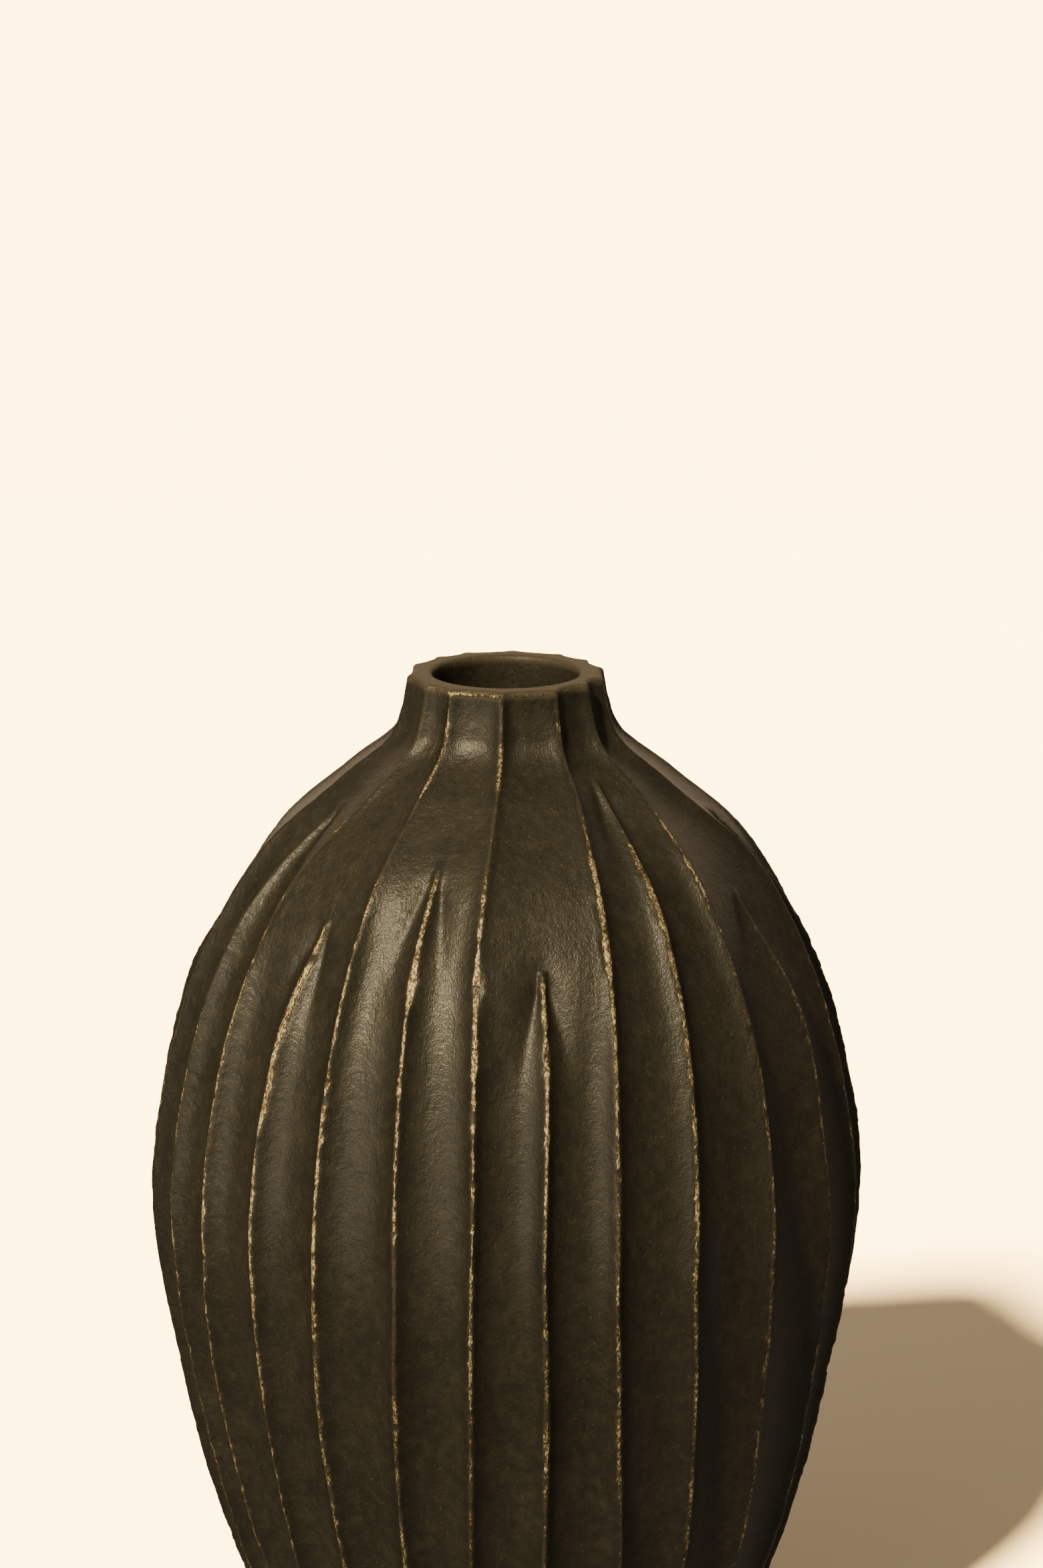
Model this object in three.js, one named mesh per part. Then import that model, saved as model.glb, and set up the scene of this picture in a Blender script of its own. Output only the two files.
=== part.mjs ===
// A ribbed barro negro jar with a narrow neck. It is modelled as the clay sections that a potter
// forms and then joins with slip: a floor disc, three wall sections and a neck collar. The ribs are
// what stays of the wall between hand-carved flutes, which run on over the joints.
// Millimetres, +Z up, origin at the middle of the foot on the table. Azimuth 0 faces -Y and grows
// towards +X.
import * as THREE from "three";

// ---- Driving dimensions ----

const HEIGHT = 280;
const FLOOR_RECESS = 1.5; // the floor disc stays this far above the table
const FLOOR_TOP = 11;
const FOOT_RING_INNER = 42; // the flat ring that the jar stands on runs from here to the outside
const FLOOR_SEAT = { bottom: 38.3, top: 44 }; // radii of the cone that holds the floor disc
const JOINT_GAP = 0.3; // the slip line between two sections
const JOINT_DROP = 7; // a bevelled joint is this much lower on the inside of the wall
const EDGE_ROUND = 1.2; // worn edge of the lip and of the foot

// Radius and height of the ridge crests, from the foot to the lip.
const CREST_OUTLINE = [
  [52, 0], [74.7, 65], [84.8, 110], [90, 148], [86.8, 178], [78, 208],
  [62.1, 236], [42.4, 254], [30, 264], [26.1, 272], [24.5, 280],
];
// Radius and height of the smooth inside, from the floor to the mouth.
const INNER_OUTLINE = [
  [44, 11], [53, 30], [64.6, 68], [75, 112], [80, 148], [77, 176], [67.7, 204],
  [52, 230], [35, 247.5], [23.5, 258.4], [18.2, 267], [18, 280],
];

// Wall sections from the foot up: where each ends on the outside, and its rows of facets outside
// and inside.
const SECTIONS = [
  { name: "lower_wall", top: 78, outsideRows: 6, insideRows: 4 },
  { name: "belly_wall", top: 168, outsideRows: 6, insideRows: 4 },
  { name: "shoulder_wall", top: 252, outsideRows: 11, insideRows: 6 },
  { name: "neck_collar", top: HEIGHT, outsideRows: 7, insideRows: 5 },
];

// ---- Carved ridges ----

const RIDGES = 28; // long and short ones take turns
const FIRST_RIDGE = -5; // azimuth of ridge 0, a long one
const COLUMNS_PER_FLUTE = 3; // a crest and the two sides of the flute's floor
const FLOOR_SIDES = [0, 0.28, 0.72]; // where those columns lie across a flute
const COLUMNS = RIDGES * COLUMNS_PER_FLUTE;

// Depths of the cuts below the crests, in the direction of the radius.
const WIDE_DEPTH = { lip: 0.9, neck: 2.2, shoulder: 3.4 };
const FLUTE_DEPTH = { foot: 2.4, belly: 3.8 };
const NECK_LEVEL = 266;
const SHOULDER_LEVEL = 236;
const FOOT_FADE = 90; // flutes get shallower below this height
const WIDE_POWER = 2.2; // roundness of a wide flute above a short ridge
const FLUTE_POWER = 3.2; // a higher power has steeper sides and a flatter floor
const FORM_LENGTH = 9; // a short ridge's two flutes reach their depth in this length
const RISE_LENGTH = 36; // and its crest reaches the outline in this one

// How far each ridge strays from its even place, in degrees, at these four heights, and for a short
// ridge how far below the lip it starts. Each row is a long ridge and the short one after it.
const SWAY_HEIGHTS = [280, 230, 150, 80];
const RIDGE_PAIRS = [
  { long: [3, -0.5, 0.2, -1], short: [-0.4, -0.4, -1.9, -0.9], start: 57 },
  { long: [9.3, 0, -3.9, 0.3], short: [8.5, 1.4, -3.9, 0.9], start: 22 },
  { long: [8.6, 2.6, -1.4, 3.1], short: [6, 5.7, 2.2, 6.5], start: 50 },
  { long: [9, 6.9, 2.9, 6], short: [6, 4.5, 2, 4], start: 34 },
  { long: [3, 4, 1, 2.5], short: [2, 3, 0.5, 1], start: 53 },
  { long: [0, 1.5, -1, 0.5], short: [-2, 0, -2, -0.5], start: 27 },
  { long: [-4, -1, -2.5, -1], short: [-1, -1, -1.5, -2], start: 46 },
  { long: [1, 0.5, -1, -2.5], short: [3, 1.5, 0, -1], start: 39 },
  { long: [5, 2, 1, 0], short: [2, 1, 2, 1], start: 58 },
  { long: [-1, 0, 2.5, 2], short: [-2, -1.5, 1, 2.5], start: 25 },
  { long: [-3, -2, 0, 2], short: [0, -1, 1.5, 3], start: 48 },
  { long: [2, 0.5, 3, 4], short: [1.3, 0.3, 4.3, 4.8], start: 28 },
  { long: [4.4, -0.6, 2.1, 1.4], short: [2, 1.1, 1.1, 1.1], start: 50 },
  { long: [-2.3, -0.3, 0.7, -0.3], short: [1.4, -0.1, 1.4, -0.1], start: 36 },
];

// ---- Outlines ----

const mix = (a, b, t) => a + (b - a) * t;
const smooth = (t) => THREE.MathUtils.smoothstep(t, 0, 1);

// A smooth curve through the outline's points, as a list of dense samples from low to high.
function sampled(outline) {
  const curve = new THREE.SplineCurve(outline.map(([r, z]) => new THREE.Vector2(r, z)));
  return curve.getPoints(outline.length * 24);
}

const CREST_SAMPLES = sampled(CREST_OUTLINE);
const INNER_SAMPLES = sampled(INNER_OUTLINE);

function radiusAt(samples, z) {
  const next = Math.max(1, samples.findIndex((p) => p.y >= z));
  const [low, high] = [samples[next - 1], samples[next]];
  return mix(low.x, high.x, (z - low.y) / (high.y - low.y));
}

// ---- Ridges and flutes ----

function ridgeAzimuth(ridge, z) {
  const turn = Math.floor(ridge / RIDGES);
  const index = ridge - turn * RIDGES;
  const pair = RIDGE_PAIRS[Math.floor(index / 2)];
  const sway = index % 2 === 0 ? pair.long : pair.short;
  const level = SWAY_HEIGHTS.findIndex((height) => z >= height);
  let stray = level < 0 ? sway.at(-1) : sway[0];
  if (level > 0) {
    const [high, low] = [SWAY_HEIGHTS[level - 1], SWAY_HEIGHTS[level]];
    stray = mix(sway[level], sway[level - 1], smooth((z - low) / (high - low)));
  }
  return FIRST_RIDGE + (ridge * 360) / RIDGES + stray;
}

function wideDepth(z) {
  const { lip, neck, shoulder } = WIDE_DEPTH;
  if (z > NECK_LEVEL) return mix(neck, lip, smooth((z - NECK_LEVEL) / (HEIGHT - NECK_LEVEL)));
  return mix(shoulder, neck, smooth((z - SHOULDER_LEVEL) / (NECK_LEVEL - SHOULDER_LEVEL)));
}

// How far the carved surface lies inside the crests, a share u across the flute after a ridge.
function cutDepth(ridge, u, z) {
  const afterLong = ridge % 2 === 0;
  const start = HEIGHT - RIDGE_PAIRS[Math.floor(ridge / 2)].start;
  const formed = smooth((start - z) / FORM_LENGTH);
  const risen = smooth((start - z) / RISE_LENGTH);
  const fluteDepth = mix(FLUTE_DEPTH.foot, FLUTE_DEPTH.belly, smooth(z / FOOT_FADE));
  const acrossPair = afterLong ? u / 2 : (1 + u) / 2;
  const fromLong = afterLong ? u : 1 - u;
  const wide = wideDepth(z) * (1 - Math.abs(2 * acrossPair - 1) ** WIDE_POWER);
  const shortCrest = wideDepth(z) * (1 - risen) * fromLong;
  const twin = shortCrest + fluteDepth * (1 - Math.abs(2 * u - 1) ** FLUTE_POWER);
  return mix(wide, twin, formed);
}

// The columns of facets follow the ridges, inside the wall as well as outside.
function columnAzimuth(ridge, u, z) {
  return THREE.MathUtils.degToRad(mix(ridgeAzimuth(ridge, z), ridgeAzimuth(ridge + 1, z), u));
}

// ---- Clay sections ----

// Heights of the outside's rows, with a short first or last step where the foot or the lip is worn.
function outsideHeights(bottom, top, rows) {
  const heights = Array.from({ length: rows + 1 }, (_, i) => mix(bottom, top, i / rows));
  if (bottom === 0) heights.splice(1, 0, EDGE_ROUND);
  if (top === HEIGHT) heights.splice(-1, 0, HEIGHT - EDGE_ROUND);
  return heights;
}

function wallSection({ name, top, outsideRows, insideRows }, bottom) {
  const isFoot = bottom === 0;
  const isNeck = top === HEIGHT;
  const low = isFoot ? 0 : bottom + JOINT_GAP;
  const outside = outsideHeights(low, top, outsideRows).map((z) => new THREE.Vector2(1, z));
  const innerLow = isFoot ? FLOOR_TOP : low - JOINT_DROP;
  const innerTop = isNeck ? HEIGHT - EDGE_ROUND : top - JOINT_DROP;
  const inside = [];
  for (let i = 0; i <= insideRows; i += 1) {
    const z = mix(innerTop, innerLow, i / insideRows);
    inside.push(new THREE.Vector2(radiusAt(INNER_SAMPLES, z), z));
  }
  if (isNeck) {
    inside.unshift(new THREE.Vector2(radiusAt(INNER_SAMPLES, HEIGHT) + EDGE_ROUND, HEIGHT));
  }
  if (isFoot) {
    inside.push(new THREE.Vector2(FLOOR_SEAT.bottom, FLOOR_RECESS));
    inside.push(new THREE.Vector2(FOOT_RING_INNER, 0));
  }
  const profile = [...outside, ...inside];
  profile.push(profile[0].clone());
  const geometry = new THREE.LatheGeometry(profile, COLUMNS);
  const position = geometry.getAttribute("position");
  for (let i = 0; i <= COLUMNS; i += 1) {
    const ridge = Math.floor((i % COLUMNS) / COLUMNS_PER_FLUTE);
    const u = FLOOR_SIDES[i % COLUMNS_PER_FLUTE];
    profile.forEach(({ x, y: z }, j) => {
      const onOutside = j < outside.length || j === profile.length - 1;
      const worn = (isFoot && z === 0) || (isNeck && z === HEIGHT) ? EDGE_ROUND : 0;
      const carved = radiusAt(CREST_SAMPLES, z) - cutDepth(ridge, u, z) - worn;
      const radius = onOutside ? carved : x;
      const azimuth = columnAzimuth(ridge, u, z);
      position.setXYZ(
        i * profile.length + j, radius * Math.sin(azimuth), -radius * Math.cos(azimuth), z,
      );
    });
  }
  matchJointFacets(geometry, profile.length);
  return clay(name, geometry);
}

// Cuts the last strip of quads, a section's lower joint face, along the other diagonal. That gives
// it the same facets as the upper joint face of the section below.
function matchJointFacets(geometry, rows) {
  const index = geometry.getIndex();
  for (let i = 0; i < COLUMNS; i += 1) {
    const a = i * rows + rows - 2;
    const [b, c, d] = [a + rows, a + rows + 1, a + 1];
    index.array.set([a, b, c, a, c, d], ((i + 1) * (rows - 1) - 1) * 6);
  }
  geometry.computeVertexNormals();
}

function floorDisc() {
  const rise = FLOOR_TOP - FLOOR_RECESS;
  const slope = Math.hypot(FLOOR_SEAT.top - FLOOR_SEAT.bottom, rise) / rise;
  const clearance = JOINT_GAP * slope;
  const profile = [
    new THREE.Vector2(0, FLOOR_RECESS),
    new THREE.Vector2(FLOOR_SEAT.bottom - clearance, FLOOR_RECESS),
    new THREE.Vector2(FLOOR_SEAT.top - clearance, FLOOR_TOP),
    new THREE.Vector2(0, FLOOR_TOP),
  ];
  return clay("floor_disc", new THREE.LatheGeometry(profile, COLUMNS).rotateX(Math.PI / 2));
}

function clay(name, geometry) {
  const material = new THREE.MeshStandardMaterial({ color: 0x2b2823, roughness: 0.5 });
  const mesh = new THREE.Mesh(geometry, material);
  mesh.name = name;
  return mesh;
}

// ---- The jar ----

const jar = new THREE.Group();
jar.add(floorDisc());
let bottom = 0;
for (const section of SECTIONS) {
  jar.add(wallSection(section, bottom));
  bottom = section.top;
}

export default jar;
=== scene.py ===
"""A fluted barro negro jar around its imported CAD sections: the fired, burnished clay as one surface.

The CAD has one solid for each clay section. The visual pieces are the same sections, cut out of one fine
sheet of clay, so the carving, the wear and the shading run on over the joints as they do on a fired pot.
Lengths are in millimetres until a mesh is made. Azimuth 0 faces -Y and grows towards +X.
"""
import math
from types import SimpleNamespace

import bpy
import numpy as np
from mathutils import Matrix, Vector


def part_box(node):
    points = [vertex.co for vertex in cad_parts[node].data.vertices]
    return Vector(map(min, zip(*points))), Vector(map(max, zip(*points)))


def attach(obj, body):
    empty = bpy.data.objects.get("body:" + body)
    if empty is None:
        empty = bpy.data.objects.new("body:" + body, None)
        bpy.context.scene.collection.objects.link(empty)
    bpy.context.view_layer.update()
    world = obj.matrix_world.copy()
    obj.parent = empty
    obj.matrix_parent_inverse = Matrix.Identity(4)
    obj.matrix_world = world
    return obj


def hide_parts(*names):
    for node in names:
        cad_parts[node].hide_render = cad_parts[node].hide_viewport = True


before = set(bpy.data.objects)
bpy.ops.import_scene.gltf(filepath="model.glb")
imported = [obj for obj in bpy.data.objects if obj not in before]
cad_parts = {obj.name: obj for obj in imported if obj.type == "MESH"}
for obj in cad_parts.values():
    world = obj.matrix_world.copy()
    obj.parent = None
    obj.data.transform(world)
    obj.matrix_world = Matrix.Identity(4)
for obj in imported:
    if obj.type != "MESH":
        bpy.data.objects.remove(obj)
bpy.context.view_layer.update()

MM = 0.001
rng = np.random.default_rng(28)

# ---- Sizes from the CAD sections ----


def section_top(node):
    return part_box(node)[1].z / MM


HEIGHT = section_top("neck_collar")
LOWER_TOP = section_top("lower_wall")
BELLY_TOP = section_top("belly_wall")
SHOULDER_TOP = section_top("shoulder_wall")
FLOOR_LOW, FLOOR_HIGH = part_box("floor_disc")[0].z / MM, section_top("floor_disc")

# As in the CAD: how far a joint drops towards the inside, the worn edges of the lip and the foot, and the
# inner radius of the foot ring and the lower one of the floor disc.
JOINT_DROP = 7.0
EDGE_ROUND = 1.2
FOOT_RING_INNER = 42.0
FLOOR_SEAT = 38.3

# Radius and height of the ridge crests, and of the inside, from low to high, as in the CAD.
CREST_OUTLINE = [
    (52, 0), (74.7, 65), (84.8, 110), (90, 148), (86.8, 178), (78, 208),
    (62.1, 236), (42.4, 254), (30, 264), (26.1, 272), (24.5, 280),
]
INNER_OUTLINE = [
    (44, 11), (53, 30), (64.6, 68), (75, 112), (80, 148), (77, 176), (67.7, 204),
    (52, 230), (35, 247.5), (23.5, 258.4), (18.2, 267), (18, 280),
]

# ---- Fineness ----

COLUMNS_PER_FLUTE = 25
CREST_CROWDING = 0.55  # columns stand closer together near the crests
ROW_STEP = 0.85
NECK_ROW_STEP = 0.68
INNER_ROW_STEP = 4.0
INNER_NECK_ROW_STEP = 1.0
ROUND_STEPS = 5  # rows round a worn edge
LIP_TOP_ROWS = 4

# ---- Plain mathematics ----


def smooth(t):
    t = np.clip(t, 0, 1)
    return t * t * (3 - 2 * t)


def mix(a, b, t):
    return a + (b - a) * t


def hump(distance, reach):
    """1 at no distance, falling smoothly to almost nothing at twice the reach."""
    return np.exp(-((distance / reach) ** 2))


def soft_maximum(a, b, ease):
    """The larger of two values, with the change from one to the other rounded by ease."""
    return 0.5 * (a + b + np.sqrt((a - b) ** 2 + ease**2))


def curve_through(outline, steps=24):
    """A smooth curve through the outline's points: every pair of neighbours gets that many samples."""
    points = np.array(outline, float)
    padded = np.vstack([points[:1], points, points[-1:]])
    t = np.linspace(0, 1, steps, endpoint=False)[:, None]
    samples = []
    for a, b, c, d in zip(padded, padded[1:], padded[2:], padded[3:]):
        start, end = (c - a) / 2, (d - b) / 2
        samples.append(
            (2 * t**3 - 3 * t**2 + 1) * b + (t**3 - 2 * t**2 + t) * start
            + (3 * t**2 - 2 * t**3) * c + (t**3 - t**2) * end
        )
    return np.vstack(samples + [points[-1:]])


CREST_CURVE = curve_through(CREST_OUTLINE)
INNER_CURVE = curve_through(INNER_OUTLINE)


def radius_on(curve, z):
    return np.interp(z, curve[:, 1], curve[:, 0])


# ---- Seeded noise ----

LATTICE = rng.uniform(-1, 1, (48, 48, 48))


def lattice_noise(points, cell):
    """Smooth value noise from -1 to 1 at points in millimetres, with features about a cell across."""
    at = points / cell
    low = np.floor(at).astype(int)
    part = smooth(at - low)
    total = 0.0
    for corner in np.ndindex(2, 2, 2):
        index = (low + corner) % len(LATTICE)
        share = np.prod(np.where(corner, part, 1 - part), axis=-1)
        total = total + share * LATTICE[index[..., 0], index[..., 1], index[..., 2]]
    return total


def layer(points, amount, cell, offset=0):
    """Lattice noise of that amount. The offset tells layers on the same points apart."""
    return amount * lattice_noise(points + offset, cell)


def line_noise(count, length, step, cell):
    """count separate wavering lines, sampled every step along length, with features about a cell long."""
    samples = int(length / step) + 2
    raw = rng.normal(size=(count, samples))
    reach = np.arange(-4 * cell, 4 * cell + step, step)
    kernel = np.exp(-0.5 * (reach / (cell / 2)) ** 2)
    spread = np.array([np.convolve(line, kernel, mode="same") for line in raw])
    return spread / np.sqrt(np.sum(kernel**2))


# ---- Ridges: where each one runs, and where the short ones start ----

RIDGES = 28
FIRST_AZIMUTH = -5.0
NUMBERS = np.arange(-6, RIDGES - 6)  # ridges in order round the pot, from the left edge of the front
FRONT_FLUTES = slice(0, 12)  # the flutes from ridge -6 to ridge 6

# The front ridges' paths as (depth below the lip in mm, azimuth in degrees), by their number from the one
# nearest the front. Even numbers are long ridges, which reach the lip, and odd ones are short.
FRONT_PATHS = {
    -6: [(0, -80), (50, -81.5), (130, -79), (200, -78)],
    -5: [(30, -68), (100, -67), (140, -65), (170, -66.5), (200, -64.5)],
    -4: [(0, -52), (20, -52), (46, -56.5), (75, -56), (130, -54.3), (170, -56.3), (215, -54.5)],
    -3: [(49, -41), (65, -43), (100, -43), (140, -42.2), (160, -43), (200, -42.5)],
    -2: [(0, -33), (14, -33), (24, -31.2), (60, -31), (130, -30), (170, -31.5), (205, -30.5)],
    -1: [(35, -17), (52, -18), (90, -17.3), (130, -16.5), (170, -17.8), (200, -18)],
    0: [(0, -2), (16, -2), (32, -4.3), (50, -5.4), (110, -4.8), (170, -5.5), (200, -6)],
    1: [(56, 7.5), (80, 7), (120, 5.8), (160, 6.5), (200, 6.8)],
    2: [(0, 30), (14, 30), (26, 25), (36, 22.2), (60, 20), (90, 18), (130, 16.8), (170, 18.5), (205, 21)],
    3: [(21, 41.5), (35, 36.5), (56, 34.3), (85, 32), (130, 29.6), (175, 32.5), (205, 34.5)],
    4: [(0, 55), (22, 55), (36, 50), (58, 48.3), (90, 47), (135, 45), (185, 48), (205, 49.5)],
    5: [(48, 65), (80, 64.5), (110, 61), (145, 61.5), (185, 65), (200, 66)],
    6: [(0, 74), (30, 76), (45, 81), (60, 79.5), (81, 77.5), (110, 76), (130, 75), (200, 77)],
}
# The back ridges stray from their even places by these degrees, at these depths.
BACK_DEPTHS = [0, 50, 130, 200]
BACK_SWAY = {
    7: (6, 4.5, 2, 4), 8: (3, 4, 1, 2.5), 9: (2, 3, 0.5, 1), 10: (0, 1.5, -1, 0.5), 11: (-2, 0, -2, -0.5),
    12: (-4, -1, -2.5, -1), 13: (-1, -1, -1.5, -2), 14: (1, 0.5, -1, -2.5), 15: (3, 1.5, 0, -1),
    16: (5, 2, 1, 0), 17: (2, 1, 2, 1), 18: (-1, 0, 2.5, 2), 19: (-2, -1.5, 1, 2.5), 20: (-3, -2, 0, 2),
    21: (0, -1, 1.5, 3),
}
# Depth below the lip where each short ridge starts, by its number.
STARTS = {
    1: 56.5, 3: 21, 5: 48, 7: 34, 9: 53, 11: 27, 13: 46, 15: 39, 17: 58, 19: 25, 21: 48,
    -5: 29, -3: 49, -1: 35.5,
}
PATH_EASE, PATH_MARGIN = 5.0, 15  # a path's bends are rounded over these lengths


def ridge_path(number, depth):
    """Azimuth of a ridge in degrees at each depth, eased between its path's points."""
    if number in FRONT_PATHS:
        path = np.array(FRONT_PATHS[number], float)
    else:
        even = FIRST_AZIMUTH + number * 360 / RIDGES
        path = np.column_stack([BACK_DEPTHS, even + np.array(BACK_SWAY[number], float)])
    fine = np.arange(-2 * PATH_MARGIN, HEIGHT + 2 * PATH_MARGIN)
    line = np.interp(fine, path[:, 0], path[:, 1])
    reach = np.arange(-PATH_MARGIN, PATH_MARGIN + 1)
    kernel = np.exp(-0.5 * (reach / PATH_EASE) ** 2)
    line = np.convolve(np.pad(line, PATH_MARGIN, mode="edge"), kernel / kernel.sum(), mode="valid")
    return np.interp(depth, fine, line)


# ---- Rows of the sheet: outside from the foot up, and inside from the floor up ----


def rows_between(low, high, step, curve):
    """Heights from low to high, about a step apart along the wall."""
    fine = np.linspace(low, high, 400)
    path = np.concatenate([[0], np.cumsum(np.hypot(np.diff(fine), np.diff(radius_on(curve, fine))))])
    count = max(2, round(path[-1] / step) + 1)
    return np.interp(np.linspace(0, path[-1], count), path, fine)


def joined(parts):
    """Heights of neighbouring stretches in one list, with the row of each stretch's end."""
    heights, ends = list(parts[0]), [len(parts[0]) - 1]
    for part in parts[1:]:
        heights.extend(part[1:])
        ends.append(len(heights) - 1)
    return np.array(heights), ends


outer_z, outer_ends = joined([
    rows_between(EDGE_ROUND, LOWER_TOP, ROW_STEP, CREST_CURVE),
    rows_between(LOWER_TOP, BELLY_TOP, ROW_STEP, CREST_CURVE),
    rows_between(BELLY_TOP, SHOULDER_TOP, ROW_STEP, CREST_CURVE),
    rows_between(SHOULDER_TOP, HEIGHT - EDGE_ROUND, NECK_ROW_STEP, CREST_CURVE),
])
inner_z, inner_ends = joined([
    rows_between(FLOOR_HIGH, LOWER_TOP - JOINT_DROP, INNER_ROW_STEP, INNER_CURVE),
    rows_between(LOWER_TOP - JOINT_DROP, BELLY_TOP - JOINT_DROP, INNER_ROW_STEP, INNER_CURVE),
    rows_between(BELLY_TOP - JOINT_DROP, SHOULDER_TOP - JOINT_DROP, INNER_ROW_STEP, INNER_CURVE),
    rows_between(SHOULDER_TOP - JOINT_DROP, HEIGHT - EDGE_ROUND, INNER_NECK_ROW_STEP, INNER_CURVE),
])

# ---- Columns: the flute that each is in, and its share of the way across it ----

even_share = np.arange(COLUMNS_PER_FLUTE) / COLUMNS_PER_FLUTE
share_across = even_share - CREST_CROWDING * np.sin(2 * np.pi * even_share) / (2 * np.pi)
column_flute = np.repeat(np.arange(RIDGES), COLUMNS_PER_FLUTE)
column_share = np.tile(share_across, RIDGES)
nearer_ridge = np.where(column_share < 0.5, column_flute, column_flute + 1) % RIDGES
COLUMNS = len(column_share)


def column_azimuths(z):
    """Azimuth in radians of every column at every height."""
    depth = HEIGHT - z
    paths = np.array([ridge_path(n, depth) for n in NUMBERS] + [ridge_path(NUMBERS[0], depth) + 360])
    left, right = paths[column_flute], paths[column_flute + 1]
    return np.radians(mix(left, right, column_share[:, None])).T


def places(radius, azimuth, z):
    return np.stack([radius * np.sin(azimuth), -radius * np.cos(azimuth), z + 0 * radius], axis=-1)


# ---- The carving ----

SCOOP_POWER = 2.4  # a higher power has steeper sides and a flatter floor
WIDE_POWER = 2.2
# A short ridge stands clear of the wide flute above it within the first length below its start, while its
# two flutes take the second one to reach their depth, from FORM_ASIDE beside it on, and its crest the third
# to reach the outline.
TIP_LENGTH, FORM_LENGTH, RISE_LENGTH = 5.0, 28.0, 30.0
FORM_ASIDE = 9.0
BEGIN_LENGTH = 2.5  # the length in which its edge begins
# A gouge round the start of each short ridge: its middle below the start, and its reach along and across.
GOUGE_BELOW, GOUGE_ALONG, GOUGE_ACROSS = 3.0, 7.0, 4.5
GOUGE_CLEAR = 1.5  # it leaves the crest itself alone

# Depth of the single wide flutes at these depths below the lip.
WIDE_AT = ([0, 4, 14, 44, 80], [0.8, 1.15, 2.05, 3.0, 3.3])
# Depth of the two flutes beside a short ridge.
TWIN_AT = ([0, 60, 130, 200, 280], [3.4, 3.9, 4.3, 3.9, 2.6])

flute_strength = rng.uniform(0.88, 1.12, RIDGES)
wide_strength = rng.uniform(0.9, 1.3, RIDGES // 2)
wide_strength[[1, 2, 3]] = [0.8, 0.75, 0.85]  # the front's left and middle: hardly carved at the neck
wide_strength[[4, 5]] = [1.25, 1.3]  # and the right, carved deeper
neck_strength = np.ones(RIDGES // 2)
neck_strength[[1, 2, 3, 4, 5]] = [1.5, 1.8, 1.4, 1.45, 1.45]  # all of them cut deeper round the neck
NECK_REACH = 20.0
# Beside each crest the tool left a bead: its height and how far it reaches across.
BEAD_HEIGHT, BEAD_REACH = 0.5, 1.5
gouge_depth = rng.uniform(0.2, 0.7, RIDGES // 2)
gouge_depth[3] = 1.1  # the deepest, by the ridge nearest the front


def carving(z):
    """For each row and column: the depth of the carved surface inside the crests' outline, the depth of the
    nearer ridge's own crest and how far away it is, and from 0 to 1 whether it has begun."""
    depth = HEIGHT - z[:, None]
    pair = column_flute // 2
    after_long = column_flute % 2 == 0
    below = depth - np.array([STARTS[int(n)] for n in NUMBERS if n % 2])[pair]
    across_pair = np.where(after_long, column_share / 2, (1 + column_share) / 2)
    from_long = np.where(after_long, column_share, 1 - column_share)
    flute_width = 2 * np.pi * radius_on(CREST_CURVE, z)[:, None] / RIDGES
    aside = (1 - from_long) * flute_width

    round_neck = 1 + (neck_strength[pair] - 1) * hump(depth, NECK_REACH)
    wide_depth = np.interp(depth, *WIDE_AT) * wide_strength[pair] * round_neck
    wide = wide_depth * (1 - np.abs(2 * across_pair - 1) ** WIDE_POWER)

    short_crest = wide_depth * (1 - smooth(below / RISE_LENGTH))
    twin_depth = np.interp(depth, *TWIN_AT) * flute_strength[column_flute]
    twin = short_crest * from_long + twin_depth * (1 - np.abs(2 * column_share - 1) ** SCOOP_POWER)
    formed = smooth(below / mix(TIP_LENGTH, FORM_LENGTH, smooth(aside / FORM_ASIDE)))

    near_start = -((below - GOUGE_BELOW) / GOUGE_ALONG) ** 2 - (aside / GOUGE_ACROSS) ** 2
    gouge = gouge_depth[pair] * np.exp(near_start)
    gouge = gouge * np.where(below > 0, smooth(aside / GOUGE_CLEAR), 1.0)

    to_crest = np.minimum(column_share, 1 - column_share) * flute_width
    by_long = from_long < 0.5
    crest = np.where(by_long, 0.0, short_crest)
    has_begun = np.where(by_long, 1.0, smooth(below / BEGIN_LENGTH))
    bead = BEAD_HEIGHT * (1 - has_begun * hump(to_crest, BEAD_REACH))
    return mix(wide, twin, formed) + gouge + bead, crest, to_crest, has_begun


outer_azimuth = column_azimuths(outer_z)
cut, crest_cut, from_crest, begun = carving(outer_z)
crest_radius = radius_on(CREST_CURVE, outer_z)[:, None]
rough_place = places(crest_radius - cut, outer_azimuth, outer_z[:, None])

# ---- Wear: how far the rubbed crests are worn down along each ridge, and how much bronze shows, with painted shade ----

WEAR_STEP = 0.4
wear_samples = np.arange(0, HEIGHT + WEAR_STEP, WEAR_STEP)
wear_depth = HEIGHT - wear_samples

# Where a ridge's top is rubbed broader: its number, and the middle, the reach and the extra half width.
BROAD_WEAR = {
    -4: (40, 12, 0.2), -3: (76, 26, 0.8), -1: (66, 13, 0.5), 0: (62, 15, 0.4), 1: (68, 10, 0.12),
    2: (50, 16, 0.3), 3: (45, 13, 0.3), 4: (70, 20, 0.2), 9: (80, 20, 0.6), 12: (60, 15, 0.4),
    16: (95, 25, 0.5), 19: (55, 12, 0.4),
}
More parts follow.
